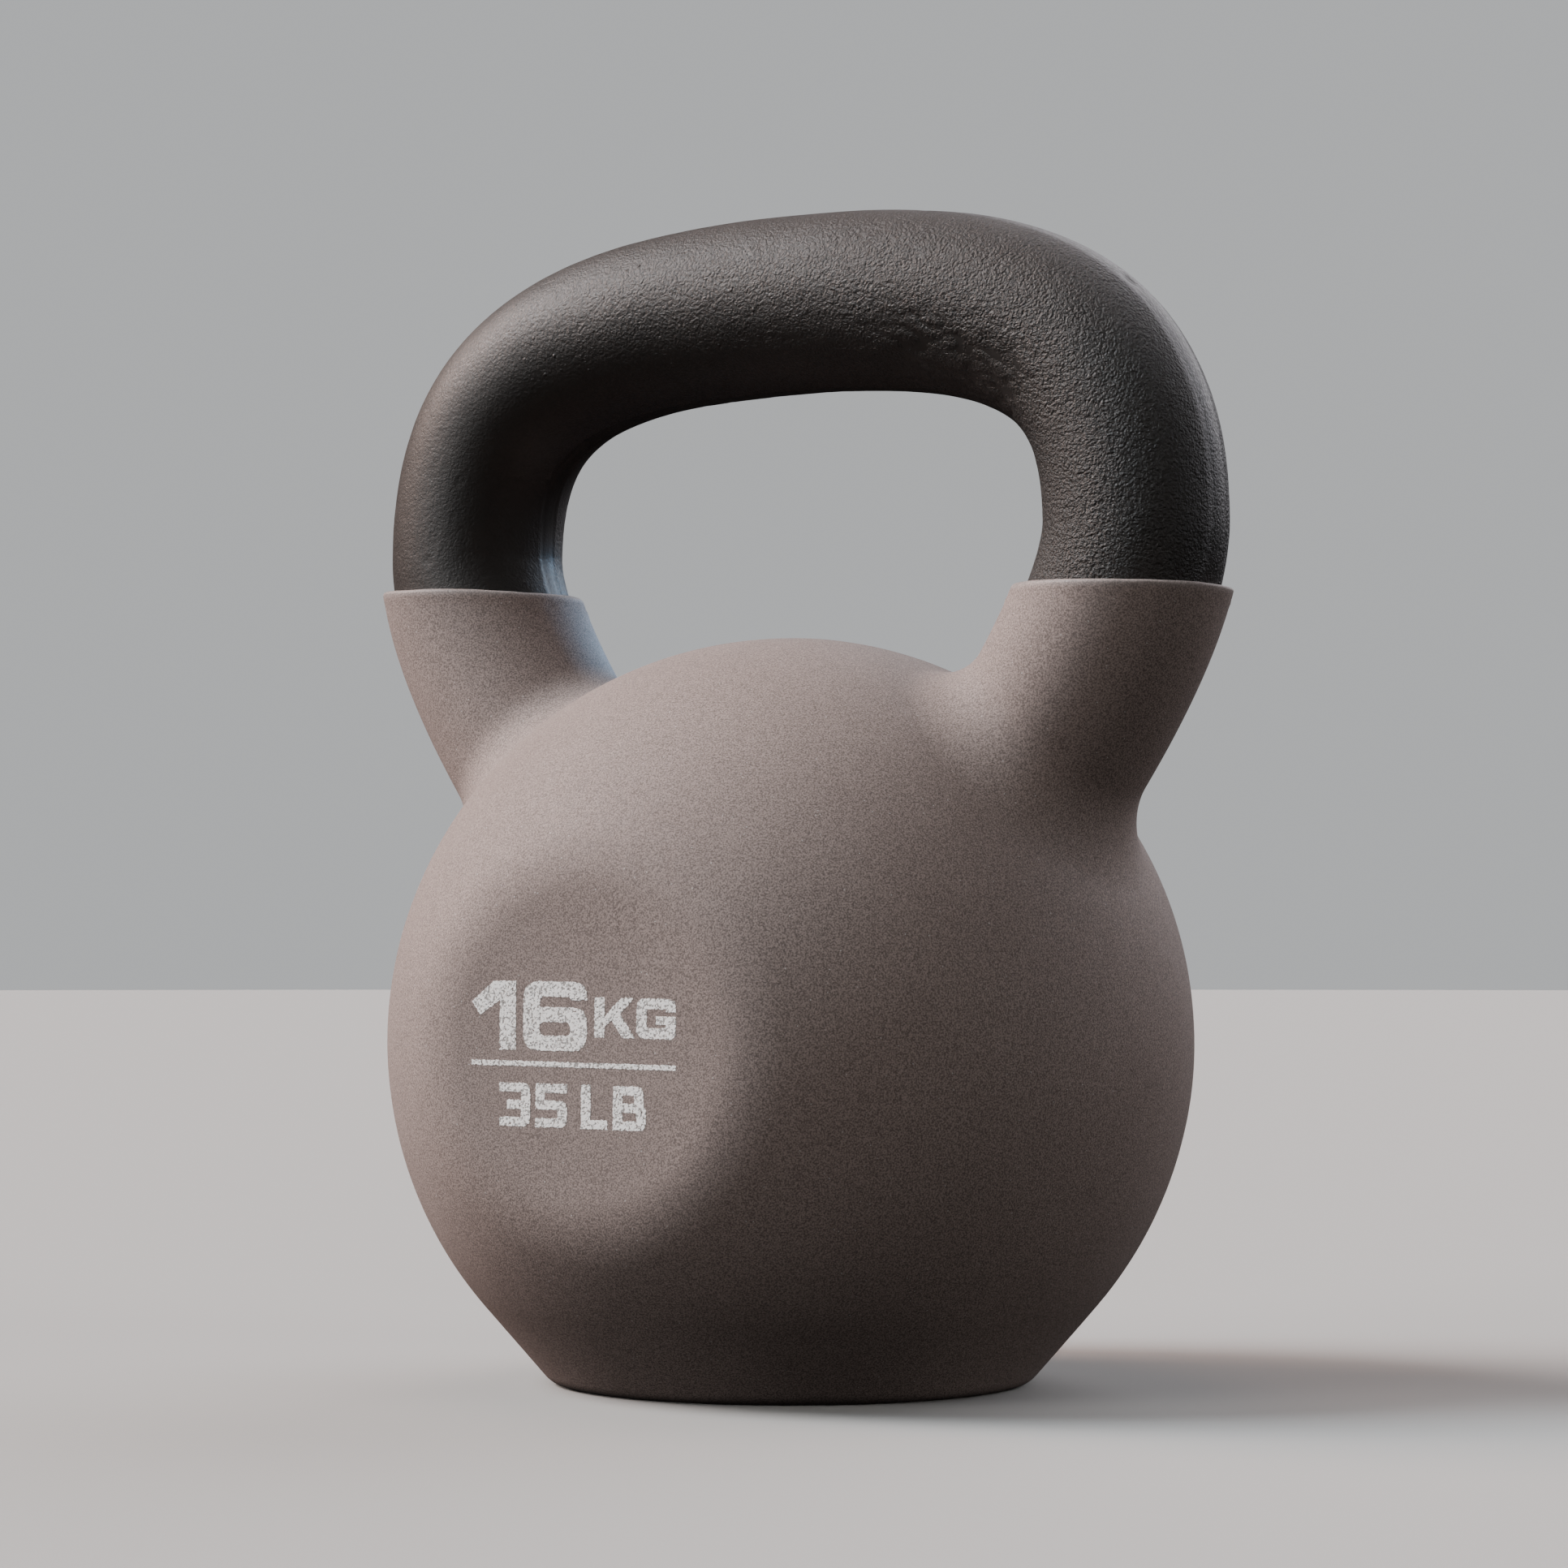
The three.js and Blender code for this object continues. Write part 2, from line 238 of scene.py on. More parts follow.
def onto_skin(points, inset, rounds):
    """Moves points along the surface's gradient until they lie on the skin."""
    corners = np.array([(1, -1, -1), (-1, -1, 1), (-1, 1, -1), (1, 1, 1)]) * SLOPE_STEP
    for _ in range(rounds):
        slope = sum(c * skin_distance(points + c, inset)[:, None] for c in corners)
        slope /= np.linalg.norm(slope, axis=1)[:, None] + 1e-12
        points = points - slope * skin_distance(points, inset)[:, None]
    return points


def over_dip(points):
    """Height over the dip line's plane."""
    return points[:, 2] - DIP_HEIGHT + points[:, 0] * DIP_SLOPE


# ---- Jacket: mesh ----


def rough_body(inset):
    """Overlapping closed shapes near the skin: a ball and two horns that run past the dip line."""
    work = bmesh.new()
    bmesh.ops.create_icosphere(work, subdivisions=5, radius=BALL_RADIUS)
    points = np.array([v.co for v in work.verts]) + (0, 0, BALL_HEIGHT)
    faces = [[v.index for v in f.verts] for f in work.faces]
    work.free()
    for _ in range(3):
        middle = points - (0, 0, BALL_HEIGHT)
        middle /= np.linalg.norm(middle, axis=1)[:, None]
        points = points - middle * ball_distance(points, inset)[:, None]

    line = spaced(LEG_LINE[LEG_LINE[:, 2] < TUBE_TOP], TUBE_STEP)
    angle = np.linspace(0, 2 * math.pi, TUBE_SIDES, endpoint=False)
    along = np.gradient(line, axis=0)
    along /= np.linalg.norm(along, axis=1)[:, None]
    side = np.stack([along[:, 2], 0 * along[:, 0], -along[:, 0]], 1)
    radius = COLLAR_RADIUS - inset
    tube = line[:, None] + radius * (
        np.cos(angle)[None, :, None] * side[:, None] + np.sin(angle)[None, :, None] * np.array([0, 1, 0])
    )
    tube = tube.reshape(-1, 3)
    rows = grid_faces(len(line), TUBE_SIDES).tolist()
    caps = [list(range(TUBE_SIDES)), list(range(len(tube) - TUBE_SIDES, len(tube)))]
    for mirror in (1, -1):
        faces += [[len(points) + i for i in f] for f in rows + caps]
        points = np.concatenate([points, tube * (mirror, 1, 1)])
    return points, outward(points, faces)


def remeshed(points, faces, voxel):
    """One even skin of small quads round the overlapping shapes."""
    mesh = bpy.data.meshes.new("rough")
    mesh.from_pydata(points.tolist(), [], faces)
    rough = bpy.data.objects.new("rough", mesh)
    bpy.context.scene.collection.objects.link(rough)
    remesh = rough.modifiers.new("remesh", "REMESH")
    remesh.mode = "VOXEL"
    remesh.voxel_size = voxel
    even = bpy.data.meshes.new_from_object(rough.evaluated_get(bpy.context.evaluated_depsgraph_get()))
    bpy.data.objects.remove(rough)
    bpy.data.meshes.remove(mesh)
    return even


def relaxed(points, edges, inset):
    """Evens out the spacing of the points and keeps them on the skin."""
    ends = np.concatenate([edges, edges[:, ::-1]])
    count = np.bincount(ends[:, 0], minlength=len(points))[:, None]
    for _ in range(3):
        total = np.stack([np.bincount(ends[:, 0], points[ends[:, 1], k], len(points)) for k in range(3)], 1)
        points = onto_skin(total / count, inset, 1)
    return points


def cut_skin(inset, voxel, cut):
    """A skin up to a plane that lies `cut` under the dip line, as points, faces and its two open loops."""
    even = remeshed(*rough_body(inset), voxel)
    points = np.array([v.co for v in even.vertices])
    edges = np.array([e.vertices for e in even.edges])
    points = relaxed(onto_skin(points, inset, 3), edges, inset)
    near = np.abs(over_dip(points) + cut) < 0.35 * voxel
    points[near, 2] -= over_dip(points[near]) + cut
    for vertex, point in zip(even.vertices, points):
        vertex.co = point
    work = bmesh.new()
    work.from_mesh(even)
    bmesh.ops.bisect_plane(
        work,
        geom=[*work.verts, *work.edges, *work.faces],
        dist=1e-3,
        plane_co=(0, 0, DIP_HEIGHT - cut),
        plane_no=(DIP_SLOPE, 0, 1),
        clear_outer=True,
    )
    work.verts.index_update()
    points = np.array([v.co for v in work.verts])
    faces = [[v.index for v in f.verts] for f in work.faces]
    open_points = sorted({v.index for e in work.edges if len(e.link_faces) == 1 for v in e.verts})
    work.free()
    bpy.data.meshes.remove(even)
    loops = [[i for i in open_points if points[i, 0] * mirror > 0] for mirror in (-1, 1)]
    return points, faces, loops


def collar_ring(mirror, radius, height, angles):
    """A ring round one leg at that distance from its centreline and that height over the dip line."""
    points = np.stack([np.cos(angles), np.sin(angles), 0 * angles], 1) * radius
    points += (mirror * TOP_LEG, 0, DIP_HEIGHT)
    for _ in range(12):
        points[:, 2] -= over_dip(points) - height
        middle = leg_points(points)
        away = points - middle
        points = middle + away * (radius / np.linalg.norm(away, axis=1))[:, None]
    return points


def leg_angles(points, mirror):
    return np.arctan2(points[:, 1], points[:, 0] - mirror * TOP_LEG)


def zipped(first, first_angles, second, second_angles):
    """Triangles between two rings of point numbers, both in order of angle."""
    faces = []
    i = j = 0
    first_angles = np.append(first_angles, first_angles[0] + 2 * math.pi)
    second_angles = np.append(second_angles, second_angles[0] + 2 * math.pi)
    while i < len(first) or j < len(second):
        a, b = first[i % len(first)], second[j % len(second)]
        if j == len(second) or (i < len(first) and first_angles[i + 1] < second_angles[j + 1]):
            i += 1
            faces.append([a, first[i % len(first)], b])
        else:
            j += 1
            faces.append([a, second[j % len(second)], b])
    return faces


def rim_profile():
    """The rolled edge of a collar, as (distance from the leg's centreline, height over the dip line)."""
    inner, soft = COLLAR_RADIUS - JACKET_WALL, 0.45
    outside = [(COLLAR_RADIUS, h) for h in (-2.2, -1.5)]
    turn = np.radians(np.arange(0, 91, 15))
    outer_edge = [
        (COLLAR_RADIUS - RIM_ROUNDING * (1 - math.cos(t)), -RIM_ROUNDING * (1 - math.sin(t))) for t in turn
    ]
    inner_edge = [(inner + soft * (1 - math.sin(t)), -soft * (1 - math.cos(t))) for t in turn]
    return [*outside, *outer_edge, *inner_edge, (inner, -2), (inner, -5), (inner, -8)]


def dipped(points):
    """The points moved by the uneven edge of the dip, its slight bead and the faint waves of the vinyl."""
    height = over_dip(points)
    wave = RIM_WAVE * smooth_step(-7, -1, height) * (lumps(points, 16, 1) + 0.4 * lumps(points, 5, 2))
    points = points + wave[:, None] * (0, 0, 1)
    near = np.nonzero(height > -9)[0]
    away = points[near] - leg_points(points[near])
    outer = np.linalg.norm(away, axis=1) > COLLAR_RADIUS - RIM_ROUNDING - 0.2
    bead = BEAD * np.exp(-(((height[near] + 1.2) / 1.3) ** 2)) * outer
    points[near] += away / np.linalg.norm(away, axis=1)[:, None] * bead[:, None]
    points = waved(points)
    points[:, 2] = np.maximum(points[:, 2], 0)
    return points


def jacket():
    points, faces, loops = cut_skin(0, SKIN_VOXEL, SKIN_CUT)
    lining, lining_faces, lining_loops = cut_skin(JACKET_WALL, LINING_VOXEL, LINING_CUT)
    faces += [[i + len(points) for i in f] for f in lining_faces]
    lining_loops = [[i + len(points) for i in loop] for loop in lining_loops]
    points = np.concatenate([points, lining])
    profile = rim_profile()
    rim_share = np.zeros(len(points))
    for mirror, loop, lining_loop in zip((-1, 1), loops, lining_loops):
        angles = np.linspace(-math.pi, math.pi, COLLAR_SIDES, endpoint=False)
        start = len(points)
        rings = [collar_ring(mirror, radius, height, angles) for radius, height in profile]
        points = np.concatenate([points, *rings])
        # Marks the rolled edge, where the vinyl is glossier and where its colour gets a painted highlight.
        gloss_and_painted_highlight = np.repeat([float(-1 < height) for _, height in profile], COLLAR_SIDES)
        rim_share = np.concatenate([rim_share, gloss_and_painted_highlight])
        faces += (grid_faces(len(profile), COLLAR_SIDES) + start).tolist()
        last_ring = start + (len(profile) - 1) * COLLAR_SIDES
        for edge, ring_start in ((loop, start), (lining_loop, last_ring)):
            edge = sorted(edge, key=lambda i: leg_angles(points[[i]], mirror)[0])
            ring = list(range(ring_start, ring_start + COLLAR_SIDES))
            ring.sort(key=lambda i: leg_angles(points[[i]], mirror)[0])
            faces += zipped(
                edge, leg_angles(points[edge], mirror), ring, leg_angles(points[ring], mirror)
            )
    faces = outward(points, faces)
    piece = make_piece("jacket", dipped(points), faces, ["vinyl_jacket"])
    add_attribute(piece, "rim", rim_share)
    return piece


# ---- Grip ----


def grip_grid():
    """The coat's centreline, and the directions out of it along and round the loop.

    Angle 0 faces out of the loop, a quarter turn faces the front, half a turn faces into the loop.
    """
    line = whole_line()
    keep = np.nonzero(line[:, 2] >= COAT_END)[0]
    line = spaced(line[keep[0]: keep[-1] + 1], GRIP_STEP)
    along = np.gradient(line, axis=0)
    along /= np.linalg.norm(along, axis=1)[:, None]
    out = np.stack([-along[:, 2], 0 * along[:, 0], along[:, 0]], 1)
    front = np.array([0, -1, 0])
    angle = np.linspace(0, 2 * math.pi, GRIP_SIDES, endpoint=False)
    direction = np.cos(angle)[None, :, None] * out[:, None] + np.sin(angle)[None, :, None] * front
    return line, direction, angle


def grip_bands(unrolled, turn):
    """Distances round the grip from the middle of its inside and its outside, and the bands there."""
    inside = GRIP_RADIUS * (turn - math.pi) + 0.5 * lumps(unrolled * (1, 0, 0), 20, 5)
    outside = GRIP_RADIUS * ((turn + math.pi) % (2 * math.pi) - math.pi)
    outside += 0.6 * lumps(unrolled * (1, 0, 0), 30, 6)
    parting = 1 - smooth_step(PARTING_WIDTH / 2 - 0.5, PARTING_WIDTH / 2 + 0.3, np.abs(inside))
    dressed = 1 - smooth_step(DRESSED_WIDTH / 2 - 1.2, DRESSED_WIDTH / 2 + 1, np.abs(outside))
    return inside, outside, parting, dressed


def folds(unrolled, long, wide, sharpness, seed):
    """Creases about that long and wide in millimetres, 1 at their bottom, thinner with more sharpness."""
    stretched = unrolled / (long, wide, 1)
    return np.clip(1 - np.abs(lumps(stretched, 1, seed)) * sharpness, 0, 1)


def casting_relief(points, unrolled, travel, rough, lower_front, corner):
    """Height of the orange peel, of the lumps of the casting under it, and of the folds.

    Long folds run along the lower front of the bar, short ones lie in the inner corner on the right, and
    faint ones lie in patches elsewhere.
    """
    relief = 0.14 * lumps(points, 19, 7) + 0.035 * lumps(points, 6, 8) * rough
    relief += (0.022 * lumps(points, 2.3, 9) + 0.012 * lumps(points, 1.3, 10)) * rough
    reach = smooth_step(0.45, 0.55, travel) * (1 - smooth_step(0.78, 0.86, travel))
    relief -= 0.08 * folds(unrolled, 26, 3.4, 7, 11) * lower_front * reach
    relief -= 0.36 * folds(unrolled, 6, 2.6, 2.8, 16) * lower_front * corner
    patches = smooth_step(0, 0.4, lumps(points, 24, 13))
    relief -= 0.05 * folds(unrolled, 14, 2.6, 9, 12) * rough * patches
    return relief


def tool_marks(unrolled, inside, outside, parting, dressed):
    """Height of the lengthwise ridges and streaks on the inside, and of the faint streaks on the outside."""
    ridges = np.exp(-(((np.abs(inside) - PARTING_WIDTH / 2) / 0.35) ** 2)) * 0.1
    along = unrolled[:, 0]
    inner_streaks = lumps(np.stack([along / 40, inside / 0.9, 0 * along], 1), 1, 14)
    outer_streaks = lumps(np.stack([along / 30, outside / 1.1, 0 * along], 1), 1, 15)
    return ridges + parting * (0.07 * inner_streaks - 0.05) + dressed * 0.03 * outer_streaks


def pit_depths(unrolled, length):
    """Depth of the casting's pits that show through the coat, and of a nick outside the right corner."""
    around = 2 * math.pi * GRIP_RADIUS
    ranges = ((0, length), (0, around), (0.5, 0.9), (0.05, 0.16))
    chance = np.random.default_rng(16)
    pits = [[chance.uniform(*limits) for limits in ranges] for _ in range(PIT_COUNT)]
    nick = (0.775 * length, 1.2, 1.3, 0.5)
    depths = np.zeros(len(unrolled))
    for place_along, place_round, size, depth in [*pits, nick]:
        gap = np.abs(unrolled[:, 1] - place_round)
        gap = np.hypot(unrolled[:, 0] - place_along, np.minimum(gap, around - gap))
        depths += depth * np.exp(-((gap / size) ** 2))
    return depths


def powder_shares(travel, turn, rough, lower_front, corner):
    """Where the powder is dressed smooth, coarse (more so towards the right), has nibs or has wrinkled."""
    coarse = 0.35 + 0.7 * smooth_step(0.2, 0.45, travel) + 1.1 * smooth_step(0.5, 0.75, travel)
    coarse *= (0.3 + 0.7 * rough) * (1 - 0.5 * lower_front * corner)
    nibs = smooth_step(0.24, 0.34, travel) * (1 - smooth_step(0.72, 0.8, travel))
    nibs *= smooth_step(0.4, 0.8, turn) * (1 - smooth_step(2.2, 2.6, turn))
    wrinkles = smooth_step(0.42, 0.5, travel) * (1 - smooth_step(0.74, 0.84, travel))
    wrinkles *= smooth_step(0.1, 0.4, turn) * (1 - smooth_step(2.0, 2.8, turn)) * rough
    return {"dressed": 1 - rough, "coarse": coarse, "nibs": nibs, "wrinkles": wrinkles}


def grip():
    line, direction, angle = grip_grid()
    points = (line[:, None] + GRIP_RADIUS * direction).reshape(-1, 3)
    travel = np.repeat(np.linspace(0, 1, len(line)), len(angle))
    turn = np.tile(angle, len(line))
    length = GRIP_STEP * (len(line) - 1)
    unrolled = np.stack([travel * length, GRIP_RADIUS * turn, 0 * turn], 1)

    inside, outside, parting, dressed = grip_bands(unrolled, turn)
    rough = 1 - np.maximum(parting, dressed)
    lower_front = smooth_step(1.5, 2.0, turn) * (1 - smooth_step(2.75, 2.95, turn))
    corner = smooth_step(0.6, 0.66, travel) * (1 - smooth_step(0.76, 0.82, travel))
    relief = casting_relief(points, unrolled, travel, rough, lower_front, corner)
    relief += tool_marks(unrolled, inside, outside, parting, dressed)
    relief -= pit_depths(unrolled, length)
    points += direction.reshape(-1, 3) * relief[:, None]

    # The inner wall isn't seen, so it has fewer rows
    rows, columns = len(line), len(angle)
    kept = np.unique([*range(0, rows, 6), rows - 1])
    inner_rows = len(kept)
    inner = (line[kept, None] + (GRIP_RADIUS - COAT_WALL) * direction[kept]).reshape(-1, 3)
    faces = grid_faces(rows, columns).tolist()
    faces += (grid_faces(inner_rows, columns) + len(points)).tolist()
    for outer_row, inner_row in ((0, 0), (rows - 1, inner_rows - 1)):
        a = outer_row * columns
        b = len(points) + inner_row * columns
        faces += [[a + k, a + (k + 1) % columns, b + (k + 1) % columns, b + k] for k in range(columns)]
    points = np.concatenate([points, inner])

    piece = make_piece("grip", points, outward(points, faces), ["handle_coating"])
    unseen = np.zeros(len(inner))
    for name, values in powder_shares(travel, turn, rough, lower_front, corner).items():
        add_attribute(piece, name, np.concatenate([values, unseen]))
    return piece


# ---- Printed mark ----


def film_outline(node):
    """Edges round the front of a CAD film, as pairs of (x, z) in millimetres."""
    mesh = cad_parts[node].data
    points = np.array([v.co for v in mesh.vertices]) * 1000
    front_depth = points[:, 1].min()
    seen = {}
    for polygon in mesh.polygons:
        corners = [tuple(np.round(points[i, ::2], 4)) for i in polygon.vertices]
        if all(points[i, 1] < front_depth + 0.01 for i in polygon.vertices):
            for a, b in zip(corners, corners[1:] + corners[:1]):
                key = (min(a, b), max(a, b))
                seen[key] = seen.get(key, 0) + 1
    return np.array([key for key, uses in seen.items() if uses == 1])


def outline_distance(points, edges):
    """Distance outside the outline, negative inside it."""
    start, end = edges[:, 0], edges[:, 1]
    run = end - start
    reach = ((points[:, None] - start) * run).sum(-1) / (run ** 2).sum(-1)
    nearest = start + np.clip(reach, 0, 1)[..., None] * run
    distance = np.linalg.norm(points[:, None] - nearest, axis=-1).min(1)
    straddles = (start[:, 1] > points[:, 1, None]) != (end[:, 1] > points[:, 1, None])
    level = np.where(run[:, 1] == 0, 1, run[:, 1])
    crossing = start[:, 0] + (points[:, 1, None] - start[:, 1]) / level * run[:, 0]
    inside = (straddles & (crossing > points[:, 0, None])).sum(1) % 2 == 1
    return np.where(inside, -distance, distance)


def ink_grid(edges):
    """A grid round the outline in (x, z), its shape, and how far each point is outside the ragged print."""
    margin = 0.5
    low, high = edges.reshape(-1, 2).min(0) - margin, edges.reshape(-1, 2).max(0) + margin
    xs, zs = (np.arange(low[k], high[k] + INK_STEP, INK_STEP) for k in (0, 1))
    grid = np.stack(np.meshgrid(xs, zs, indexing="ij"), -1).reshape(-1, 2)
    spread = np.stack([grid[:, 0], 0 * grid[:, 0], grid[:, 1]], 1)
    ragged = 0.06 * lumps(spread, 0.9, 20) + 0.16 * lumps(spread, 0.45, 21) + 0.1 * lumps(spread, 0.26, 23)
    pinholes = lumps(spread, 0.4, 22) - 0.56
    return grid, (len(xs), len(zs)), np.maximum(outline_distance(grid, edges) + ragged, pinholes)


def cut_film(grid, shape, height):
    """The front of a film: two triangles to each grid cell, cut where the height crosses zero."""
    rows, columns = shape
    i, j = (a.ravel() for a in np.meshgrid(np.arange(rows - 1), np.arange(columns - 1), indexing="ij"))
    a, b, c, d = i * columns + j, (i + 1) * columns + j, (i + 1) * columns + j + 1, i * columns + j + 1
    work = bmesh.new()
    made = {}

    def corner(p, q):
        key = (min(p, q), max(p, q))
        if key not in made:
            share = 0 if p == q else height[key[0]] / (height[key[0]] - height[key[1]])
            x, z = grid[key[0]] + (grid[key[1]] - grid[key[0]]) * share
            made[key] = work.verts.new((x, -FLAT_DISTANCE - INK_PROUD, z))
        return made[key]

    for triangle in np.concatenate([np.stack([a, b, c], 1), np.stack([a, c, d], 1)]).tolist():
        if min(height[k] for k in triangle) >= 0:
            continue
        ring = []
        for p, q in zip(triangle, triangle[1:] + triangle[:1]):
            if height[p] < 0:
                ring.append(corner(p, p))
            if (height[p] < 0) != (height[q] < 0):
                ring.append(corner(p, q))
        work.faces.new(ring)
    bmesh.ops.triangulate(work, faces=list(work.faces))
    return work


def ink_film(node, name):
    """A printed sign with ragged edges and pinholes, made from its CAD film's outline."""
    work = cut_film(*ink_grid(film_outline(node)))
    grown = bmesh.ops.extrude_face_region(work, geom=list(work.faces))["geom"]
    for v in (g for g in grown if isinstance(g, bmesh.types.BMVert)):
        v.co.y = -FLAT_DISTANCE + INK_SUNK
    bmesh.ops.recalc_face_normals(work, faces=work.faces)
    work.verts.index_update()
    points = waved(np.array([v.co for v in work.verts]))
    faces = [[v.index for v in f.verts] for f in work.faces]
    work.free()
    piece = make_piece(name, points, faces, [node])
    piece.data.shade_flat()
    return piece


# ---- Materials ----


def new_material(name, **values):
    material = bpy.data.materials.new(name)
    material.use_nodes = True
    shader = material.node_tree.nodes["Principled BSDF"]
    for socket, value in values.items():
        shader.inputs[socket.replace("_", " ")].default_value = value
    return material, shader


def add_node(material, kind, inputs, **settings):
    """A node with its inputs set to numbers or linked to other nodes' sockets."""
    tree = material.node_tree
    made = tree.nodes.new(kind)
    for name, value in settings.items():
        setattr(made, name, value)
    for name, value in inputs.items():
        if isinstance(value, bpy.types.NodeSocket):
            tree.links.new(value, made.inputs[name])
        else:
            made.inputs[name].default_value = value
    return made


def noise_field(material, size, detail=2, roughness=0.5):
    """Noise with lumps of that size in millimetres, as a 0 to 1 socket."""
    place = add_node(material, "ShaderNodeTexCoord", {}).outputs["Object"]
    inputs = {"Vector": place, "Scale": 1000 / size, "Detail": detail, "Roughness": roughness}
    return add_node(material, "ShaderNodeTexNoise", inputs).outputs["Fac"]


def cells(material, size, feature="F1", pushed=0):
    """A cell pattern of that size in millimetres, its places pushed to and fro by noise."""
    place = add_node(material, "ShaderNodeTexCoord", {}).outputs["Object"]
    inputs = {"Vector": place, "Scale": 1000 / size}
    if pushed:
        push = add_node(material, "ShaderNodeTexNoise", inputs).outputs["Color"]
        terms = {0: push, 1: [0.002 * pushed] * 3, 2: place}
        moved = add_node(material, "ShaderNodeVectorMath", terms, operation="MULTIPLY_ADD")
        inputs["Vector"] = moved.outputs["Vector"]
    return add_node(material, "ShaderNodeTexVoronoi", inputs, feature=feature)


def attribute(material, name):
    return add_node(material, "ShaderNodeAttribute", {}, attribute_name=name).outputs["Fac"]


def sparse_spots(material, size, share, radius):
    """Round spots in that share of the cells: 1 in the middle of a spot, 0 outside. Sizes in millimetres."""
    spots = cells(material, size)
    pick = add_node(material, "ShaderNodeSeparateColor", {"Color": spots.outputs["Color"]}).outputs[0]
    chosen = ramp(material, pick, 1 - share, 1 - share + 0.002)
    round_spot = ramp(material, spots.outputs["Distance"], radius / size, 0.4 * radius / size)
    return maths(material, "MULTIPLY", chosen, round_spot)


def ramp(material, value, low, high, start=0, end=1):
    """Maps value between low and high onto start to end, without overshoot."""
    inputs = {"Value": value, "From Min": low, "From Max": high, "To Min": start, "To Max": end}
    return add_node(material, "ShaderNodeMapRange", inputs).outputs["Result"]


def maths(material, operation, a, b):
    made = add_node(material, "ShaderNodeMath", {}, operation=operation)
    for socket, value in zip(made.inputs, (a, b)):
        if isinstance(value, bpy.types.NodeSocket):
            material.node_tree.links.new(value, socket)
        else:
            socket.default_value = value
    return made.outputs["Value"]


def blend_colour(material, share, a, b):
    made = add_node(material, "ShaderNodeMix", {}, data_type="RGBA")
    for index, value in ((0, share), (6, a), (7, b)):
        if isinstance(value, bpy.types.NodeSocket):
            material.node_tree.links.new(value, made.inputs[index])
        else:
            made.inputs[index].default_value = value if isinstance(value, (int, float)) else (*value, 1)
    return made.outputs[2]


def bumps(material, shader, layers):
    """Stacks (height, distance in millimetres) into the shader's normal."""
    normal = None
    for height, distance in layers:
        inputs = {"Height": height, "Distance": distance * 0.001}
        if normal is not None:
            inputs["Normal"] = normal
        normal = add_node(material, "ShaderNodeBump", inputs).outputs["Normal"]
    material.node_tree.links.new(normal, shader.inputs["Normal"])


def plug(material, shader, **sockets):
    for name, socket in sockets.items():
        material.node_tree.links.new(socket, shader.inputs[name.replace("_", " ")])


def sand(material):
    """Grain as fine as sand over a slightly larger one, 0 to 1."""
    large = ramp(material, noise_field(material, 0.6, 1), 0.3, 0.7, 0, 0.15)
    small = ramp(material, noise_field(material, 0.29, 0), 0.3, 0.7, 0, 0.85)
    return maths(material, "ADD", large, small)


def vinyl_material():
    material, shader = new_material("vinyl_grained", IOR=1.45, Specular_IOR_Level=0.3)
    rim = attribute(material, "rim")
    patches = ramp(material, noise_field(material, 38, 3), 0.3, 0.7)
    grain = sand(material)
    dark = blend_colour(material, patches, (0.118, 0.090, 0.081), (0.130, 0.101, 0.091))
    light = blend_colour(material, patches, (0.303, 0.236, 0.213), (0.335, 0.263, 0.238))
    colour = blend_colour(material, grain, dark, light)
    # Sparse pale spots mixed into the vinyl's colour: painted glints of the vinyl's sparkle.
    painted_glints = maths(material, "MULTIPLY", sparse_spots(material, 0.6, 0.022, 0.16), 0.7)
    colour = blend_colour(material, painted_glints, colour, (0.62, 0.6, 0.58))
    # The rim's colour is lifted towards pale grey: a painted highlight along the rolled edge. Its lower
    # roughness on the next lines is real gloss.
    colour = blend_colour(material, maths(material, "MULTIPLY", rim, 0.25), colour, (0.34, 0.31, 0.30))
    rough = ramp(material, noise_field(material, 3, 3), 0.3, 0.7, 0.66, 0.76)
    rough = maths(material, "SUBTRACT", rough, maths(material, "MULTIPLY", rim, 0.16))
    plug(material, shader, Base_Color=colour, Roughness=rough)
    bumps(material, shader, [(noise_field(material, 1.6, 2), 0.022), (grain, 0.014)])
    return material


def powder_material():
    material, shader = new_material("powder_coat_black", IOR=1.5, Specular_IOR_Level=0.42)
    dressed = attribute(material, "dressed")
    patches = ramp(material, noise_field(material, 14, 3), 0.3, 0.7)
    colour = blend_colour(material, patches, (0.0125, 0.0100, 0.0088), (0.020, 0.0160, 0.0140))
    grain = noise_field(material, 0.5, 2, 0.6)
    rough = ramp(material, grain, 0.3, 0.7, 0.46, 0.64)
    rough = maths(material, "SUBTRACT", rough, maths(material, "MULTIPLY", dressed, 0.1))
    plug(material, shader, Base_Color=colour, Roughness=rough)

    coarse = attribute(material, "coarse")
    peel = maths(material, "MULTIPLY", cells(material, 1.1, "SMOOTH_F1").outputs["Distance"], coarse)
    fine = maths(material, "MULTIPLY", noise_field(material, 0.62, 2, 0.6), coarse)
    grain = maths(material, "MULTIPLY", grain, coarse)
    groove = ramp(material, cells(material, 1.9, "DISTANCE_TO_EDGE", 0.8).outputs["Distance"], 0.07, 0)
    groove = maths(material, "MULTIPLY", groove, attribute(material, "wrinkles"))
    patchy = ramp(material, noise_field(material, 9, 2), 0.48, 0.58)
    wrinkled = maths(material, "SUBTRACT", 1, maths(material, "MULTIPLY", groove, patchy))
    nibs = maths(material, "MULTIPLY", sparse_spots(material, 2.4, 0.16, 0.42), attribute(material, "nibs"))
    bumps(material, shader, [(peel, 0.09), (fine, 0.3), (wrinkled, 0.06), (nibs, 0.22), (grain, 0.16)])
    return material


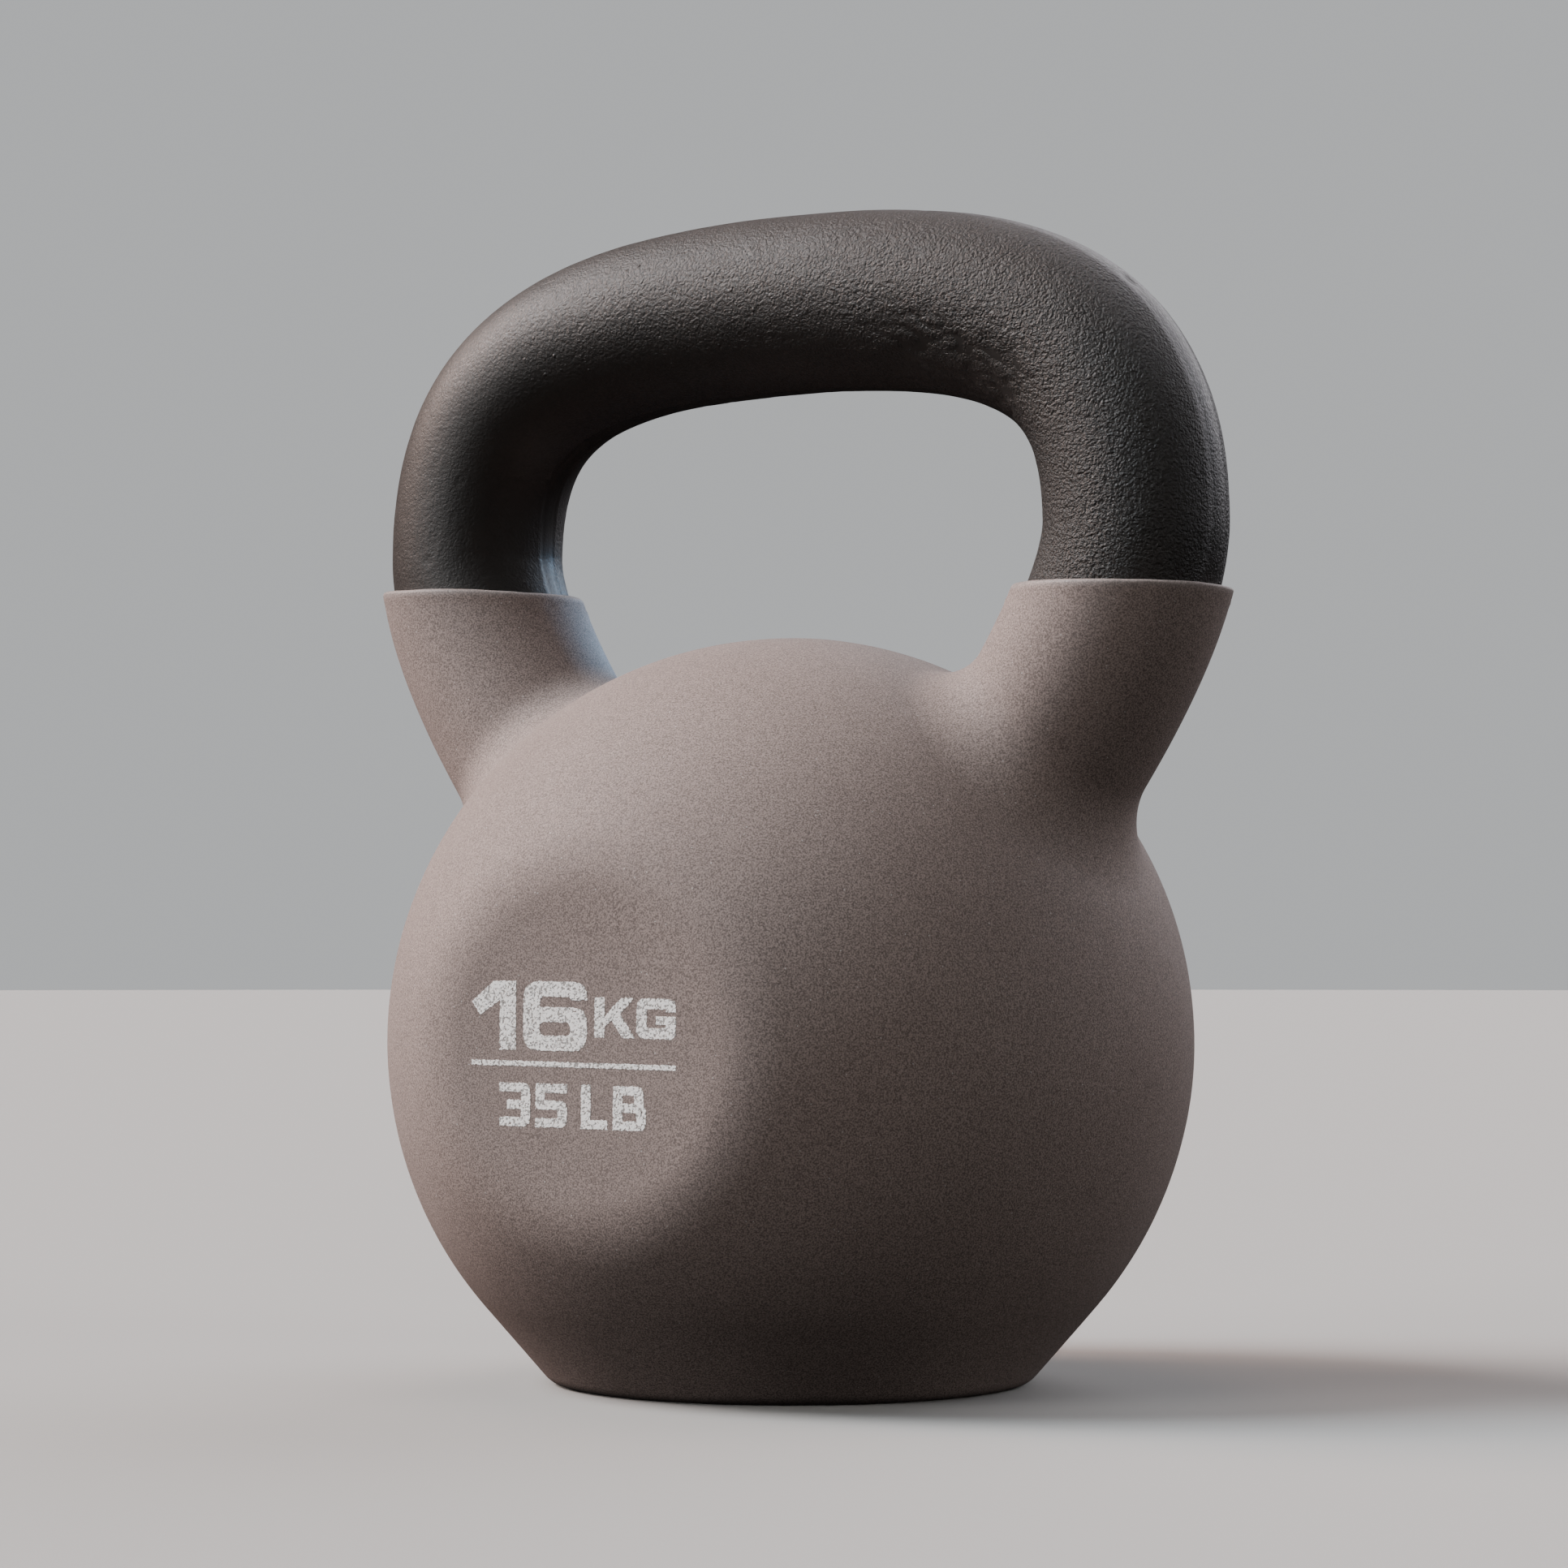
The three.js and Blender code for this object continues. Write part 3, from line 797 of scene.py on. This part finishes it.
def iron_material():
    material, shader = new_material("cast_iron_raw", Metallic=1.0)
    colour = blend_colour(material, noise_field(material, 6, 4), (0.09, 0.085, 0.08), (0.17, 0.16, 0.15))
    rough = ramp(material, noise_field(material, 2, 3), 0.3, 0.7, 0.6, 0.85)
    plug(material, shader, Base_Color=colour, Roughness=rough)
    bumps(material, shader, [(noise_field(material, 1.2, 4), 0.25)])
    return material


def ink_material():
    material, shader = new_material("ink_off_white", IOR=1.45)
    grain = ramp(material, noise_field(material, 0.42, 1), 0.36, 0.52)
    colour = blend_colour(material, grain, (0.32, 0.295, 0.28), (1.0, 0.96, 0.93))
    plug(material, shader, Base_Color=colour, Roughness=ramp(material, grain, 0, 1, 0.6, 0.8))
    bumps(material, shader, [(grain, 0.06)])
    return material


# ---- Assembly ----

jacket_piece = jacket()
jacket_piece.data.materials.append(vinyl_material())
grip_piece = grip()
grip_piece.data.materials.append(powder_material())

iron = iron_material()
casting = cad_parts["iron_casting"]
casting.data.materials.clear()
casting.data.materials.append(iron)

ink = ink_material()
for cad_node in sorted(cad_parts):
    if cad_node.startswith("mark_"):
        ink_film(cad_node, "print_" + cad_node[5:]).data.materials.append(ink)

# ---- Floor, light and camera ----


def add_stage(name, points, faces, material):
    mesh = bpy.data.meshes.new(name)
    mesh.from_pydata(points, [], faces)
    mesh.materials.append(material)
    made = bpy.data.objects.new(name, mesh)
    bpy.context.scene.collection.objects.link(made)
    made.visible_diffuse = False
    made.visible_glossy = False
    return made


def floor():
    """A plain pale floor. Like the photograph's dark mat, it throws no light back up at the ball."""
    reach = 12
    corners = [(-reach, -reach, 0), (reach, -reach, 0), (reach, reach, 0), (-reach, reach, 0)]
    material, _ = new_material("floor_pale", Base_Color=(0.34, 0.335, 0.325, 1), Roughness=0.9)
    add_stage("floor", corners, [(0, 1, 2, 3)], material)


def backdrop():
    """A plain pale wall far all round, which gives no light."""
    count, reach, height = 64, 9, 12
    angle = np.linspace(0, 2 * math.pi, count, endpoint=False)
    ring = np.stack([np.cos(angle), np.sin(angle)], 1) * reach
    points = [(*p, z) for z in (-1, height) for p in ring]
    material = bpy.data.materials.new("backdrop_pale")
    material.use_nodes = True
    material.node_tree.nodes.remove(material.node_tree.nodes["Principled BSDF"])
    glow = add_node(material, "ShaderNodeEmission", {"Color": (0.50, 0.51, 0.52, 1), "Strength": 1})
    output = material.node_tree.nodes["Material Output"]
    material.node_tree.links.new(glow.outputs["Emission"], output.inputs["Surface"])
    wall = add_stage("backdrop", points, [list(f) for f in grid_faces(2, count)], material)
    wall.visible_shadow = False


def aimed_light(name, kind, towards, strength):
    """A light from that direction. The strength is its irradiance in red, green and blue."""
    data = bpy.data.lights.new(name, kind)
    data.energy = max(strength)
    data.color = [s / max(strength) for s in strength]
    light = bpy.data.objects.new(name, data)
    bpy.context.scene.collection.objects.link(light)
    light.rotation_euler = Vector(towards).to_track_quat("Z", "Y").to_euler()
    return light


def lamp(name, towards, spread, strength):
    """A soft light over the whole object, `spread` degrees across."""
    aimed_light(name, "SUN", towards, strength).data.angle = math.radians(spread)


def patch(name, place, towards, reach, spread, strength):
    """A soft round patch of light at that place, from `reach` metres away and `spread` degrees wide."""
    light = aimed_light(name, "SPOT", towards, strength)
    light.location = Vector(place) + Vector(towards).normalized() * reach
    light.data.energy *= 4 * math.pi * reach ** 2
    light.data.spot_size = math.radians(spread)
    light.data.spot_blend = 1
    light.data.shadow_soft_size = 0.01


def camera():
    """The photograph's view: 32 degrees to the right of the front flat, low, tipped up a little."""
    azimuth, tip = math.radians(32), math.radians(2.3)
    forward = Vector((-math.sin(azimuth) * math.cos(tip), math.cos(azimuth) * math.cos(tip), math.sin(tip)))
    data = bpy.data.cameras.new("camera")
    data.sensor_width = 36
    data.lens = 96.7
    eye = bpy.data.objects.new("camera", data)
    bpy.context.scene.collection.objects.link(eye)
    eye.location = (0.4440, -0.7131, 0.0848)
    eye.rotation_euler = forward.to_track_quat("-Z", "Y").to_euler()
    bpy.context.scene.camera = eye


floor()
backdrop()
lamp("key", (-0.61, -0.36, 0.71), 26, (4.42, 4.88, 5.18))
lamp("side", (-0.83, -0.19, 0.52), 26, (3.55, 2.5, 2.1))
lamp("front", (-0.44, -0.82, 0.37), 26, (1.37, 1.34, 1.32))
lamp("back", (0.1, 0.8, 0.59), 55, (1.9, 1.85, 1.95))
lamp("right", (0.93, 0.02, 0.38), 27, (0.82, 0.8, 0.78))
lamp("right_back", (0.6, 0.65, 0.46), 26, (0.2, 0.22, 0.26))
lamp("top", (-0.3, 0.18, 0.94), 26, (0.5, 0.32, 0.27))
patch("cool_patch", (-0.058, 0, 0.136), (0.33, 0.9, 0.25), 0.6, 5.4, (1.0, 2.8, 4.8))
camera()

world = bpy.data.worlds.new("studio")
world.use_nodes = True
world.node_tree.nodes["Background"].inputs["Color"].default_value = (0.80, 0.82, 0.85, 1)
world.node_tree.nodes["Background"].inputs["Strength"].default_value = 0.02
bpy.context.scene.world = world
